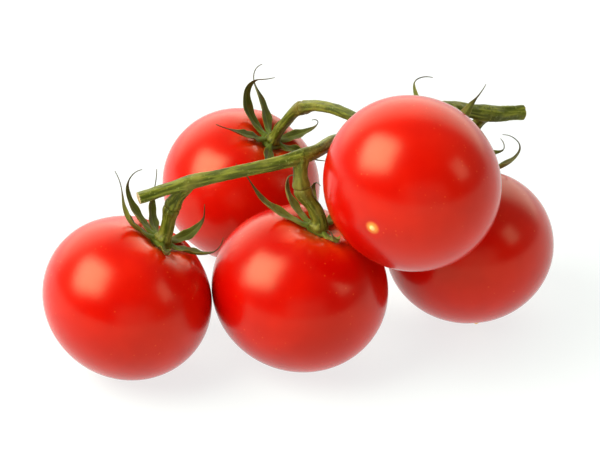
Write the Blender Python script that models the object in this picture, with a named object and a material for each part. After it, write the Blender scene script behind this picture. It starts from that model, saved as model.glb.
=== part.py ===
"""A truss of cherry tomatoes, as picked, lying on a table.

Five ripe fruits hang on one green stalk, the rachis. Each fruit has a star-shaped calyx in the dimple
at its stem end, and a short stalk, the pedicel, that snaps off at a swollen knuckle. Four fruits rest
on the table and the fifth is seated on two of them.

Metres, +Z up, the table at z = 0. The origin is on the table, under the middle of the whole truss.
"""

import math
from dataclasses import dataclass

import bmesh
import bpy
from mathutils import Matrix, Vector
from mathutils.bvhtree import BVHTree

MM = 0.001
UP = Vector((0, 0, 1))
RIGHT = Vector((1, 0, 0))

# Gaps between the pieces
TOUCH_GAP = 0.3 * MM  # between two pieces that touch
BASE_FRUIT_GAP = 2.9 * MM  # between the front fruit and the base fruit
BACK_FRUIT_GAP = 6.2 * MM  # between the front fruit and the back fruit
RACHIS_CLEARANCE = 0.5 * MM  # between the rachis and any fruit it passes
SEPAL_CLEARANCE = 0.8 * MM  # between a sepal and whatever it bends round

# Where the fruits lie: bearings run from +X towards +Y, in degrees
FRONT_FRUIT_BEARING = 5.8  # of the front fruit, seen from the tip fruit
BASE_FRUIT_BEARING = 24.3  # of the base fruit, seen from the front fruit
BACK_FRUIT_BEARING = 107.4  # of the back fruit, seen from the front fruit
TOP_FRUIT_LEAN = 23.5  # how far the top fruit leans forward over the two that it sits on

# The fruits
DIMPLE_DEPTH = 2.6 * MM  # of the hollow at the stem end
DIMPLE_RADIUS = 4.2 * MM
CONTACT_SINK = 0.25 * MM  # how much of a fruit's underside is flattened by its weight

# The calyxes
HUB_RADIUS = 2.1 * MM
HUB_THICKNESS = 0.9 * MM
SEPAL_ROOT_WIDTH = 1.1 * MM
SEPAL_WIDTH = 2.3 * MM  # where it is widest
SEPAL_TIP_WIDTH = 0.5 * MM
SEPAL_WIDEST = 1 / 3  # share of a sepal's length at which it is widest
SEPAL_THICKNESS = 0.45 * MM
SEPAL_CHANNEL = 0.16  # depth of the fold along a sepal, as a share of its width there
LIFT_POWER = 1.2  # a sepal's lift grows with this power of the share of its length
HOOK_POWER = 4
SWAY_POWER = 2

# The stalk
RACHIS_TIP_RADIUS = 1.05 * MM
RACHIS_BASE_RADIUS = 1.35 * MM
NODE_SWELLING = 0.25 * MM  # added to the rachis's radius where a pedicel leaves it
NODE_LENGTH = 2.4 * MM
KNUCKLE_SWELLING = 0.4 * MM  # added to a pedicel's radius at its knuckle
KNUCKLE_LENGTH = 1.6 * MM
PEDICEL_FLARE = 0.2 * MM  # added to a pedicel's radius where it meets the calyx
STUB_RUN = Vector((-8.6, -3.0, -1.2)) * MM  # the pruned stub past the tip fruit's pedicel
PEDUNCLE_RUN = Vector((6.6, 2.6, -1.4)) * MM  # the cut stem past the base fruit's pedicel

# How finely the round shapes are divided
FRUIT_SIDES = 24
UPPER_RINGS = 12
LOWER_RINGS = 7
STALK_SIDES = 10
STALK_STEP = 1.9 * MM
SHORTEST_RUN = 4  # steps along the shortest stretch of stalk
SEPAL_STEPS = 7
SHARP_ANGLE = math.radians(40)  # edges sharper than this aren't shaded smooth
SETTLING_ROUNDS = 8  # of moving a fruit until its gaps are right
BENDING_ROUNDS = 4  # of bending a sepal until it is clear


@dataclass
class Sepal:
    azimuth: float  # degrees round the fruit's axis, from its right-hand side
    length: float  # mm
    lift: float  # degrees that it has turned away from the skin near its end
    hook: float = 0.0  # further degrees over the last stretch
    sway: float = 0.0  # degrees that it drifts round the axis by its tip


@dataclass
class Fruit:
    name: str
    width: float  # mm
    height: float  # mm, of the round body with its dimple filled in
    lean: float  # degrees of the stem end away from upright
    bearing: float  # degrees, the way that it leans
    to_knuckle: tuple  # mm, the run of the pedicel from the calyx
    to_rachis: tuple  # mm, the run of the spur from the knuckle
    thickness: float  # mm, of the pedicel
    sepals: tuple
    centre: Vector = None

    @property
    def radius(self):
        return self.width * MM / 2

    @property
    def reach(self):
        """Radius of a ball round the centre that holds the whole fruit."""
        return max(self.width, self.height) * MM / 2

    @property
    def axis(self):
        lean, bearing = math.radians(self.lean), math.radians(self.bearing)
        flat = Vector((math.cos(bearing), math.sin(bearing), 0))
        return flat * math.sin(lean) + UP * math.cos(lean)

    @property
    def turn(self):
        """Rotation that carries +Z to the fruit's axis, with +X kept to the right."""
        side = (RIGHT - self.axis * RIGHT.dot(self.axis)).normalized()
        return Matrix((side, self.axis.cross(side), self.axis)).transposed()

    @property
    def place(self):
        return Matrix.Translation(self.centre) @ self.turn.to_4x4()

    def skin_height(self, rho):
        """Height of the upper skin over the widest ring, at a distance rho from the axis."""
        rounded = math.sqrt(max(0.0, 1 - (rho / self.radius) ** 2)) * self.height * MM / 2
        return rounded - DIMPLE_DEPTH * math.exp(-((rho / DIMPLE_RADIUS) ** 2))

    @property
    def hub_floor(self):
        """Height of the underside of the calyx's hub, just clear of the dimple."""
        return self.skin_height(math.hypot(HUB_RADIUS, SEPAL_ROOT_WIDTH / 2)) + TOUCH_GAP

    @property
    def pedicel_start(self):
        return self.place @ Vector((0, 0, self.hub_floor + HUB_THICKNESS + TOUCH_GAP))


TIP = Fruit(
    "tip", 30.5, 28.2, 30.6, 16, (1.6, 0.0, 6.3), (2.9, -0.2, 5.0), 2.4,
    (
        Sepal(0, 8, 45, 10),
        Sepal(46, 9, 90, 25, -6),
        Sepal(118, 9.5, 92, -25, 4),
        Sepal(148, 10.8, 66, -8, -2),
        Sepal(194, 11.5, 88, -25, -10),
        Sepal(275, 6, 25, 10),
    ),
)
FRONT = Fruit(
    "front", 31.7, 28.8, 14, 3, (-2.9, 0.8, 7.05), (-0.2, 1.4, 5.6), 2.6,
    (
        Sepal(52, 8, 75, 30),
        Sepal(104, 8, 90, 30),
        Sepal(140, 10.5, 95, 25, -8),
        Sepal(176, 13, 62, -10, -6),
        Sepal(304, 7, 100, 60, -10),
    ),
)
BACK = Fruit(
    "back", 29.6, 27.8, 29.4, -20, (5.2, -2.6, 8.1), (12.2, -14.4, 4.5), 2.0,
    (
        Sepal(34, 8.5, 42, 10),
        Sepal(70, 5, 40, 10),
        Sepal(106, 11.5, 42, -18, 42),
        Sepal(146, 13.3, 112, 25, -18),
        Sepal(198, 8, 22, -15, -8),
        Sepal(258, 7, 15, 20),
        Sepal(350, 6.5, 8),
    ),
)
TOP = Fruit(
    "top", 31.4, 29.0, 86, 60.5, (2.4, 5.4, 0.6), (-2.6, 4.2, 0.4), 2.2,
    (
        Sepal(4, 9, 60, 30),
        Sepal(84, 8, 60, 20),
        Sepal(160, 12, 35, 40, 10),
        Sepal(222, 12, 50, 30, -10),
        Sepal(292, 9, 85, 20),
    ),
)
BASE = Fruit(
    "base", 30.6, 28.3, 31, 100, (1.0, 2.4, 5.8), (3.2, -0.8, 5.4), 2.2,
    (
        Sepal(10, 11, 40, 50),
        Sepal(76, 10, 60, 30),
        Sepal(140, 11, 45, 40),
        Sepal(212, 8, 30, 30),
        Sepal(292, 9, 30, 40),
    ),
)
FRUITS = (TIP, FRONT, BACK, TOP, BASE)


def material(name, colour, roughness):
    made = bpy.data.materials.new(name)
    made.use_nodes = True
    shader = made.node_tree.nodes["Principled BSDF"]
    shader.inputs["Base Color"].default_value = (*colour, 1)
    shader.inputs["Roughness"].default_value = roughness
    shader.inputs["Metallic"].default_value = 0
    return made


def new_object(name, mesh, skin, parent=None):
    obj = bpy.data.objects.new(name, mesh)
    bpy.context.scene.collection.objects.link(obj)
    obj.data.materials.append(skin)
    obj.parent = parent
    return obj


def mesh_of(name, bm):
    """The finished mesh, its faces pointing out and shaded smooth."""
    bmesh.ops.recalc_face_normals(bm, faces=bm.faces)
    mesh = bpy.data.meshes.new(name)
    bm.to_mesh(mesh)
    bm.free()
    mesh.shade_smooth()
    mesh.set_sharp_from_angle(angle=SHARP_ANGLE)
    return mesh


def bridge(bm, ring, following):
    """Quads between two closed rings of as many vertices."""
    count = len(ring)
    for i in range(count):
        j = (i + 1) % count
        bm.faces.new((ring[i], ring[j], following[j], following[i]))


# ---- The fruits


def fruit_body(fruit):
    """The whole fruit in its own frame: an oblate body turned about the axis, dimpled at the stem end."""
    bm = bmesh.new()
    half = fruit.height * MM / 2
    rings = []
    for k in range(1, UPPER_RINGS + LOWER_RINGS):
        above = k <= UPPER_RINGS
        share = 1 - k / UPPER_RINGS if above else (UPPER_RINGS - k) / LOWER_RINGS
        slant = share * math.pi / 2
        rho = fruit.radius * math.cos(slant)
        z = fruit.skin_height(rho) if above else half * math.sin(slant)
        turns = [2 * math.pi * i / FRUIT_SIDES for i in range(FRUIT_SIDES)]
        rings.append([bm.verts.new((rho * math.cos(t), rho * math.sin(t), z)) for t in turns])
    for ring, following in zip(rings, rings[1:]):
        bridge(bm, ring, following)
    poles = (
        (bm.verts.new((0, 0, fruit.skin_height(0))), rings[0]),
        (bm.verts.new((0, 0, -half)), rings[-1]),
    )
    for pole, ring in poles:
        for i in range(FRUIT_SIDES):
            bm.faces.new((pole, ring[i], ring[(i + 1) % FRUIT_SIDES]))
    bmesh.ops.recalc_face_normals(bm, faces=bm.faces)
    return bm


def points_of(fruit):
    """The fruit's vertices, placed as it stands."""
    bm = fruit_body(fruit)
    points = [fruit.place @ v.co for v in bm.verts]
    bm.free()
    return points


def tree_of(fruit):
    bm = fruit_body(fruit)
    bm.transform(fruit.place)
    tree = BVHTree.FromBMesh(bm)
    bm.free()
    return tree


def gap_between(one, other):
    """The shortest distance between two fruits that don't overlap."""
    gaps = []
    for near, far in ((one, other), (other, one)):
        skin = tree_of(far)
        gaps += [skin.find_nearest(point)[3] for point in points_of(near)]
    return min(gaps)


def rest_on_table(fruit, x, y):
    """Stands the fruit on the table, sunk by the depth of its flattened patch."""
    fruit.centre = Vector((x, y, 0))
    fruit.centre.z = -min(p.z for p in points_of(fruit)) - CONTACT_SINK


def stand_beside(fruit, neighbour, bearing, gap):
    """Stands the fruit on the table on that bearing from its neighbour, the gap away from it."""
    turned = math.radians(bearing)
    outward = Vector((math.cos(turned), math.sin(turned), 0))
    start = neighbour.centre + outward * (neighbour.radius + fruit.radius + gap)
    rest_on_table(fruit, start.x, start.y)
    for _ in range(SETTLING_ROUNDS):
        fruit.centre -= outward * (gap_between(fruit, neighbour) - gap)


def seat_on_two(fruit, left, right, lean):
    """Seats the fruit in the saddle between two others, leaning forward by that angle."""
    span = right.centre - left.centre
    along = span.normalized()
    forward = along.cross(UP).normalized()
    upward = forward.cross(along)
    leaning = upward * math.cos(math.radians(lean)) + forward * math.sin(math.radians(lean))
    to_left = left.radius + fruit.radius + TOUCH_GAP
    to_right = right.radius + fruit.radius + TOUCH_GAP
    for _ in range(SETTLING_ROUNDS):
        share = (to_left**2 - to_right**2 + span.length**2) / (2 * span.length)
        fruit.centre = left.centre + along * share + leaning * math.sqrt(to_left**2 - share**2)
        to_left -= gap_between(fruit, left) - TOUCH_GAP
        to_right -= gap_between(fruit, right) - TOUCH_GAP


def place_fruits():
    rest_on_table(TIP, 0, 0)
    stand_beside(FRONT, TIP, FRONT_FRUIT_BEARING, TOUCH_GAP)
    stand_beside(BASE, FRONT, BASE_FRUIT_BEARING, BASE_FRUIT_GAP)
    stand_beside(BACK, FRONT, BACK_FRUIT_BEARING, BACK_FRUIT_GAP)
    seat_on_two(TOP, FRONT, BASE, TOP_FRUIT_LEAN)


def build_fruit(fruit, skin, truss):
    """The fruit as an object, with its underside cut flat at the table where it rests."""
    bm = fruit_body(fruit)
    table = fruit.place.inverted() @ Vector((0, 0, 0))
    below = fruit.turn.inverted() @ -UP
    everything = bm.verts[:] + bm.edges[:] + bm.faces[:]
    cut = bmesh.ops.bisect_plane(bm, geom=everything, plane_co=table, plane_no=below, clear_outer=True)
    rim = [e for e in cut["geom_cut"] if isinstance(e, bmesh.types.BMEdge)]
    if rim:
        bmesh.ops.contextual_create(bm, geom=rim)
    obj = new_object(f"tomato_{fruit.name}", mesh_of(f"tomato_{fruit.name}", bm), skin, truss)
    obj.matrix_local = fruit.place
    return obj


# ---- The stalk


def hermite(start, leaving, end, arriving, count):
    """Points of a cubic from start to end with those end tangents, both ends included."""
    points = []
    for k in range(count + 1):
        t = k / count
        a = 2 * t**3 - 3 * t**2 + 1
        b = t**3 - 2 * t**2 + t
        c = 3 * t**2 - 2 * t**3
        d = t**3 - t**2
        points.append(start * a + leaving * b + end * c + arriving * d)
    return points


def through(knots, step):
    """A smooth curve through the knots, with a point about every step."""
    slopes = []
    for k, here in enumerate(knots):
        back = here - knots[k - 1] if k else None
        ahead = knots[k + 1] - here if k + 1 < len(knots) else None
        if back is None or ahead is None:
            slopes.append((ahead or back).normalized())
        else:
            slopes.append((back.normalized() + ahead.normalized()).normalized())
    points = [knots[0]]
    for k in range(len(knots) - 1):
        reach = (knots[k + 1] - knots[k]).length
        count = max(2, round(reach / step))
        points += hermite(knots[k], slopes[k] * reach, knots[k + 1], slopes[k + 1] * reach, count)[1:]
    return points


def kept_clear(points, radius):
    """The path pushed out of every fruit, so that a stalk of that radius passes with its clearance."""
    moved = []
    for point in points:
        for fruit in FRUITS:
            room = fruit.reach + radius + RACHIS_CLEARANCE
            away = point - fruit.centre
            if away.length < room:
                point = fruit.centre + away.normalized() * room
        moved.append(point)
    return moved


def tube(points, radii, first_heading=None, last_heading=None):
    """A closed tube along the points, cut square to its heading at both ends."""
    bm = bmesh.new()
    headings = [after - before for before, after in zip(points, points[2:])]
    headings.insert(0, first_heading or points[1] - points[0])
    headings.append(last_heading or points[-1] - points[-2])
    rings = []
    side = headings[0].orthogonal()
    for k, point in enumerate(points):
        heading = headings[k].normalized()
        side = side - heading * side.dot(heading)
        side.normalize()
        other = heading.cross(side)
        ring = []
        for i in range(STALK_SIDES):
            turned = 2 * math.pi * i / STALK_SIDES
            offset = side * math.cos(turned) + other * math.sin(turned)
            ring.append(bm.verts.new(point + offset * radii[k]))
        rings.append(ring)
    for ring, following in zip(rings, rings[1:]):
        bridge(bm, ring, following)
    bm.faces.new(rings[0])
    bm.faces.new(rings[-1])
    return bm


def swelling(distance, height, length):
    return height * math.exp(-((distance / length) ** 2))


@dataclass
class Pedicel:
    """The run of a fruit's stalk: a loose piece to the knuckle, then a spur of the rachis."""

    fruit: Fruit
    knuckle: Vector
    heading: Vector  # at the knuckle, away from the fruit
    junction: Vector

    @property
    def radius(self):
        return self.fruit.thickness * MM / 2

    def loose_points(self):
        start = self.fruit.pedicel_start
        reach = (self.knuckle - start).length
        count = max(SHORTEST_RUN, round(reach / STALK_STEP))
        return hermite(start, self.fruit.axis * reach, self.knuckle, self.heading * reach, count)

    def spur_points(self):
        start = self.knuckle + self.heading * TOUCH_GAP
        run = self.junction - start
        arriving = (run.normalized() * 2 - self.heading) * run.length / 2
        count = max(SHORTEST_RUN, round(run.length / STALK_STEP))
        return hermite(start, self.heading * run.length, self.junction, arriving, count)

    def loose_radii(self, points):
        radii = []
        for point in points:
            radius = self.radius
            radius += swelling((point - points[-1]).length, KNUCKLE_SWELLING, KNUCKLE_LENGTH)
            radius += swelling((point - points[0]).length, PEDICEL_FLARE, KNUCKLE_LENGTH)
            radii.append(radius)
        return radii

    def spur_radii(self, points):
        return [
            self.radius + swelling((point - points[0]).length, KNUCKLE_SWELLING, KNUCKLE_LENGTH)
            for point in points
        ]


def plan_pedicel(fruit):
    to_knuckle, to_rachis = Vector(fruit.to_knuckle) * MM, Vector(fruit.to_rachis) * MM
    knuckle = fruit.pedicel_start + to_knuckle
    heading = (to_knuckle.normalized() + to_rachis.normalized()).normalized()
    return Pedicel(fruit, knuckle, heading, knuckle + to_rachis)


def plan_rachis(pedicels):
    """The rachis's path through the pedicels' junctions, which it may shift to clear the fruits."""
    junctions = [p.junction for p in pedicels]
    knots = [junctions[0] + STUB_RUN, *junctions, junctions[-1] + PEDUNCLE_RUN]
    path = kept_clear(through(knots, STALK_STEP), RACHIS_BASE_RADIUS)
    for pedicel in pedicels:
        pedicel.junction = min(path, key=lambda point: (point - pedicel.junction).length)
    return path


def rachis_radii(path, pedicels):
    radii = []
    for k, point in enumerate(path):
        share = k / (len(path) - 1)
        radius = RACHIS_TIP_RADIUS + (RACHIS_BASE_RADIUS - RACHIS_TIP_RADIUS) * share
        nearest = min((point - p.junction).length for p in pedicels)
        radii.append(radius + swelling(nearest, NODE_SWELLING, NODE_LENGTH))
    return radii


def build_stalk(path, pedicels, skin, truss):
    """The rachis with its five spurs, joined into one body."""
    stalk = new_object("stalk", mesh_of("stalk", tube(path, rachis_radii(path, pedicels))), skin, truss)
    for pedicel in pedicels:
        points = pedicel.spur_points()
        name = f"spur_{pedicel.fruit.name}"
        bm = tube(points, pedicel.spur_radii(points), first_heading=pedicel.heading)
        spur = new_object(name, mesh_of(name, bm), skin, truss)
        spur.hide_render = True
        spur.display_type = "WIRE"
        join = stalk.modifiers.new(name, "BOOLEAN")
        join.operation = "UNION"
        join.solver = "EXACT"
        join.object = spur
    return stalk


def build_pedicel(pedicel, skin, truss):
    points = pedicel.loose_points()
    name = f"pedicel_{pedicel.fruit.name}"
    bm = tube(points, pedicel.loose_radii(points), pedicel.fruit.axis, pedicel.heading)
    return new_object(name, mesh_of(name, bm), skin, truss)


# ---- The calyxes


def sepal_ring(point, ahead, azimuth, width, thickness, channel):
    """Six corners across a sepal: its upper side from left to right, then its underside back again."""
    side = Vector((-math.sin(azimuth), math.cos(azimuth), 0))
    normal = ahead.cross(side).normalized()
    fold = normal * -width * channel
    upper = [point + side * width / 2, point + fold, point - side * width / 2]
    half = normal * thickness / 2
    return [corner + half for corner in upper] + [corner - half for corner in reversed(upper)]


def sepal_width(s):
    """Width of a sepal at a share s of its length: a narrow root, a broad middle and a thin tip."""
    if s < SEPAL_WIDEST:
        return SEPAL_ROOT_WIDTH + (SEPAL_WIDTH - SEPAL_ROOT_WIDTH) * math.sin(s / SEPAL_WIDEST * math.pi / 2)
    past = (s - SEPAL_WIDEST) / (1 - SEPAL_WIDEST)
    return SEPAL_TIP_WIDTH + (SEPAL_WIDTH - SEPAL_TIP_WIDTH) * math.cos(past * math.pi / 2)


def sepal_rings(fruit, sepal):
    """The sepal's rings in the fruit's frame, from the hub to its tip, clear of the fruit's skin."""
    length = sepal.length * MM
    step = length / SEPAL_STEPS
    start = math.radians(sepal.azimuth)
    point = Vector((math.cos(start), math.sin(start), 0)) * HUB_RADIUS
    point.z = fruit.hub_floor + HUB_THICKNESS / 2
    rings = []
    for k in range(SEPAL_STEPS + 1):
        s = k / SEPAL_STEPS
        azimuth = start + math.radians(sepal.sway) * s**SWAY_POWER
        turned = math.radians(sepal.lift * s**LIFT_POWER + sepal.hook * s**HOOK_POWER)
        outward = Vector((math.cos(azimuth), math.sin(azimuth), 0))
        ahead = outward * math.cos(turned) + UP * math.sin(turned)
        thickness = max(SEPAL_THICKNESS, HUB_THICKNESS * (1 - 2 * s))
        channel = SEPAL_CHANNEL * min(1.0, s / SEPAL_WIDEST)
        ring = sepal_ring(point, ahead, azimuth, sepal_width(s), thickness, channel)
        lift = skin_lift(fruit, ring)
        rings.append([corner + lift for corner in ring])
        point = point + lift + ahead * step
    return rings


def skin_lift(fruit, ring):
    """The rise that clears a ring of the fruit's skin, in the fruit's frame."""
    rise = 0.0
    for corner in ring:
        rho = math.hypot(corner.x, corner.y)
        if rho < fruit.radius:
            rise = max(rise, fruit.skin_height(rho) + TOUCH_GAP - corner.z)
    return UP * rise


def bent_clear(rings, obstacles):
    """The sepal bent away from the balls (centre, radius) that it would run into."""
    for _ in range(BENDING_ROUNDS):
        shifts = [ring_shift(ring, obstacles) for ring in rings]
        shifts[0] = Vector()
        for k in range(1, len(rings)):
            after = shifts[min(k + 1, len(rings) - 1)]
            shared = (shifts[k - 1] + after) / 2
            if k > 1 and shared.length > shifts[k].length:
                shifts[k] = shared
        rings = [[corner + shift for corner in ring] for ring, shift in zip(rings, shifts)]
    return rings


def ring_shift(ring, obstacles):
    middle = sum(ring, Vector()) / len(ring)
    shift = Vector()
    for centre, radius in obstacles:
        depth = radius - min((corner + shift - centre).length for corner in ring)
        if depth > 0:
            shift += (middle + shift - centre).normalized() * depth
    return shift


def build_calyx(fruit, obstacles, skin, truss):
    """The hub and its sepals, made as one skin: each sepal grows out of its share of the hub's edge.

    The sepals bend round the obstacles, balls (centre, radius), and round the other fruits. The calyx
    is added to the obstacles, for the ones made after it.
    """
    others = [(f.centre, f.reach + SEPAL_CLEARANCE) for f in FRUITS if f is not fruit]
    bm = bmesh.new()
    there = fruit.place
    back = there.inverted()
    roots = []
    for sepal in sorted(fruit.sepals, key=lambda s: s.azimuth):
        rings = [[there @ corner for corner in ring] for ring in sepal_rings(fruit, sepal)]
        rings = [[back @ corner for corner in ring] for ring in bent_clear(rings, others + obstacles)]
        made = []
        for ring in rings:
            lift = skin_lift(fruit, ring)
            made.append([bm.verts.new(corner + lift) for corner in ring])
        for ring, following in zip(made, made[1:]):
            bridge(bm, ring, following)
        bm.faces.new(made[-1])
        roots.append(made[0])
    top = bm.verts.new((0, 0, fruit.hub_floor + HUB_THICKNESS))
    floor = bm.verts.new((0, 0, fruit.hub_floor))
    for root, following in zip(roots, roots[1:] + roots[:1]):
        left, middle, right, under_right, under_middle, under_left = root
        next_right, next_under = following[2:4]
        bm.faces.new((top, right, middle))
        bm.faces.new((top, middle, left))
        bm.faces.new((top, left, next_right))
        bm.faces.new((floor, under_middle, under_right))
        bm.faces.new((floor, under_left, under_middle))
        bm.faces.new((floor, next_under, under_left))
        bm.faces.new((left, under_left, next_under, next_right))
    obj = new_object(f"calyx_{fruit.name}", mesh_of(f"calyx_{fruit.name}", bm), skin, truss)
    obj.matrix_local = there
    obstacles += [(there @ v.co, SEPAL_CLEARANCE + SEPAL_WIDTH / 4) for v in obj.data.vertices]
    return obj


def balls_along(points, radii):
    return [(point, radius + SEPAL_CLEARANCE) for point, radius in zip(points, radii)]


def stalk_balls(path, pedicels):
    """Balls that stand for the rachis, its spurs and the pedicels."""
    balls = balls_along(path, rachis_radii(path, pedicels))
    for pedicel in pedicels:
        spur = pedicel.spur_points()
        loose = pedicel.loose_points()
        balls += balls_along(spur, pedicel.spur_radii(spur))
        balls += balls_along(loose, pedicel.loose_radii(loose))
    return balls


# ---- The whole truss


def centre_over_origin(truss, pieces):
    """Moves the truss so that the middle of its box is over the origin."""
    bpy.context.view_layer.update()
    graph = bpy.context.evaluated_depsgraph_get()
    corners = []
    for piece in pieces:
        shown = piece.evaluated_get(graph)
        mesh = shown.to_mesh()
        corners += [shown.matrix_world @ v.co for v in mesh.vertices]
        shown.to_mesh_clear()
    for k in range(2):
        values = [corner[k] for corner in corners]
        truss.location[k] = -(min(values) + max(values)) / 2


def main():
    for obj in list(bpy.data.objects):
        bpy.data.objects.remove(obj)
    red = material("ripe_skin", (0.72, 0.03, 0.01), 0.25)
    green = material("green_stalk", (0.16, 0.24, 0.05), 0.6)
    leaf = material("calyx_leaf", (0.1, 0.17, 0.04), 0.65)
    truss = bpy.data.objects.new("truss", None)
    bpy.context.scene.collection.objects.link(truss)

    place_fruits()
    pedicels = [plan_pedicel(fruit) for fruit in FRUITS]
    path = plan_rachis(pedicels)
    pieces = [build_fruit(fruit, red, truss) for fruit in FRUITS]
    pieces.append(build_stalk(path, pedicels, green, truss))
    pieces += [build_pedicel(pedicel, green, truss) for pedicel in pedicels]
    obstacles = stalk_balls(path, pedicels)
    pieces += [build_calyx(fruit, obstacles, leaf, truss) for fruit in FRUITS]
    centre_over_origin(truss, pieces)


main()
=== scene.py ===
import math
from dataclasses import dataclass

import bmesh
import bpy
import numpy as np
from mathutils import Matrix, Quaternion, Vector, noise
from mathutils.kdtree import KDTree


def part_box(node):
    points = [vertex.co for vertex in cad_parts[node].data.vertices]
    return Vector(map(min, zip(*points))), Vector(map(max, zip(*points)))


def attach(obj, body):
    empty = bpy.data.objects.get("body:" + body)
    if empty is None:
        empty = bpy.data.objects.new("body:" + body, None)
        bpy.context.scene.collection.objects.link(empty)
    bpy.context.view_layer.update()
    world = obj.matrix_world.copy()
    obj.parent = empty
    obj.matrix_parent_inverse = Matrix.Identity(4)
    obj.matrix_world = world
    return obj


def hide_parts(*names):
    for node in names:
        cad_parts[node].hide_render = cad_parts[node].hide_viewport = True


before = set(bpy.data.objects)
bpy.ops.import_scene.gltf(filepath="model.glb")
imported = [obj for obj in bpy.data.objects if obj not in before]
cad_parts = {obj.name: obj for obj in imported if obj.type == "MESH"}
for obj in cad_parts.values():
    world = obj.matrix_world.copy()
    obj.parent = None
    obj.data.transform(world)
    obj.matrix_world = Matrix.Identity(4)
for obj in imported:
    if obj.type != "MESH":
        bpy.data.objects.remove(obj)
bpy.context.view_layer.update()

# ---- The fruits
# Five ripe cherry tomatoes. Each is a slightly flattened ball of taut waxy skin, hollowed to a dimple
# where its stalk enters and marked by a dry scar where the blossom fell off. Four lie on the table,
# which flattens a small patch under each of them, and the fifth is seated on two of the four.

DIMPLE_DEPTH = 0.0026
DIMPLE_RADIUS = 0.0042
LOBE_COUNT = 5  # broad swellings of the shoulder, one over each seed chamber
LOBE_HEIGHT = 0.00018
LOBE_RADIUS = 0.0078
LOBE_SPREAD = 0.004
UNEVEN_LOBES = 0.35
CREASE_DEPTH = 0.00007  # of the fine pleats that run down into the dimple
CREASE_RADIUS = 0.003
CREASE_SPREAD = 0.0022
BROAD_PLEATS, FINE_PLEATS = 9, 13  # round the dimple
FINE_PLEAT_SHARE = 0.6
STEM_END_DROP = CREASE_DEPTH * 0.2
TWO_SIDED, THREE_SIDED = 0.004, 0.0025  # how far a fruit is off round, as a share of its radius
SEED_TURN = 1.7  # radians for each seed number, so that no two fruits have their lobes alike
SCAR_NUB = 0.00022
SCAR_RADIUS = 0.00042
SCAR_HOLLOW = 0.00012  # of the shallow ring round the blossom scar
SCAR_HOLLOW_RADIUS = 0.0011
SCAR_HOLLOW_SPREAD = 0.0007
FRUIT_SIDES = 128
UPPER_RINGS = 60
LOWER_RINGS = 48
RING_CROWDING = 1.3  # draws the rings in towards both ends, where the detail is


@dataclass
class Fruit:
    name: str
    width: float
    height: float  # of the round body, with its dimple filled in
    lean: float  # degrees of the stem end away from upright
    bearing: float  # degrees, the way that it leans, from +X towards +Y
    ripeness: float  # 0 for orange-red to 1 for deep red
    seed: int
    centre: Vector = None

    @property
    def radius(self):
        return self.width / 2

    @property
    def axis(self):
        lean, bearing = math.radians(self.lean), math.radians(self.bearing)
        flat = Vector((math.cos(bearing), math.sin(bearing), 0))
        return flat * math.sin(lean) + Vector((0, 0, math.cos(lean)))

    @property
    def place(self):
        """From the fruit's own frame, +Z up its axis and +X to the right, to where it lies."""
        side = Vector((1, 0, 0))
        side = (side - self.axis * side.dot(self.axis)).normalized()
        turn = Matrix((side, self.axis.cross(side), self.axis)).transposed()
        return Matrix.Translation(self.centre or Vector()) @ turn.to_4x4()

    def skin_height(self, rho):
        """Height of the upper skin over the widest ring, at a distance rho from the axis."""
        rounded = np.sqrt(np.maximum(0, 1 - (rho / self.radius) ** 2)) * self.height / 2
        return rounded - DIMPLE_DEPTH * np.exp(-((rho / DIMPLE_RADIUS) ** 2))


TIP = Fruit("tip", 0.0305, 0.0282, 30.6, 16, 0.45, 1)
FRONT = Fruit("front", 0.0317, 0.0288, 14, 3, 0.55, 2)
BACK = Fruit("back", 0.0296, 0.0278, 29.4, -20, 0.35, 3)
TOP = Fruit("top", 0.0314, 0.0290, 86, 60.5, 0.5, 4)
BASE = Fruit("base", 0.0306, 0.0283, 31, 100, 0.7, 5)
FRUITS = (TIP, FRONT, BACK, TOP, BASE)


def swelling(distance, height, length):
    """Height of a smooth bump at a distance from its middle; length says how soon it falls away."""
    return height * math.exp(-((distance / length) ** 2))


def placed(matrix, points):
    """An array of points, moved by the matrix."""
    turn = np.array(matrix.to_3x3())
    return points @ turn.T + np.array(matrix.translation)


def fruit_rings(fruit):
    """Rings of skin points in the fruit's own frame, from the stem end to the blossom end."""
    angles = np.linspace(0, 2 * math.pi, FRUIT_SIDES, endpoint=False)
    shift = fruit.seed * SEED_TURN
    oval = 1 + TWO_SIDED * np.cos(2 * angles + shift) + THREE_SIDED * np.cos(3 * angles - shift)
    lobes = np.cos(LOBE_COUNT * angles + shift) + UNEVEN_LOBES * np.cos(2 * angles + 2 * shift)
    broad = np.abs(np.sin(BROAD_PLEATS / 2 * angles + shift))
    fine = np.abs(np.sin(FINE_PLEATS / 2 * angles - shift))
    pleats = broad + FINE_PLEAT_SHARE * fine
    rings = []
    for k in range(1, UPPER_RINGS + 1):
        off_pole = math.pi / 2 * (k / UPPER_RINGS) ** RING_CROWDING
        rho = fruit.radius * math.sin(off_pole)
        z = fruit.skin_height(rho) + swelling(rho - LOBE_RADIUS, LOBE_HEIGHT * lobes, LOBE_SPREAD)
        z = z - swelling(rho - CREASE_RADIUS, CREASE_DEPTH * pleats, CREASE_SPREAD)
        rings.append(np.stack([rho * oval * np.cos(angles), rho * oval * np.sin(angles), z], axis=1))
    for k in range(LOWER_RINGS - 1, 0, -1):
        off_pole = math.pi / 2 * (k / LOWER_RINGS) ** RING_CROWDING
        rho = fruit.radius * math.sin(off_pole)
        z = -fruit.height / 2 * math.cos(off_pole)
        z += swelling(rho - SCAR_HOLLOW_RADIUS, SCAR_HOLLOW, SCAR_HOLLOW_SPREAD)
        z -= swelling(rho, SCAR_NUB, SCAR_RADIUS)
        flat = np.full(FRUIT_SIDES, z)
        rings.append(np.stack([rho * oval * np.cos(angles), rho * oval * np.sin(angles), flat], axis=1))
    return rings


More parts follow.
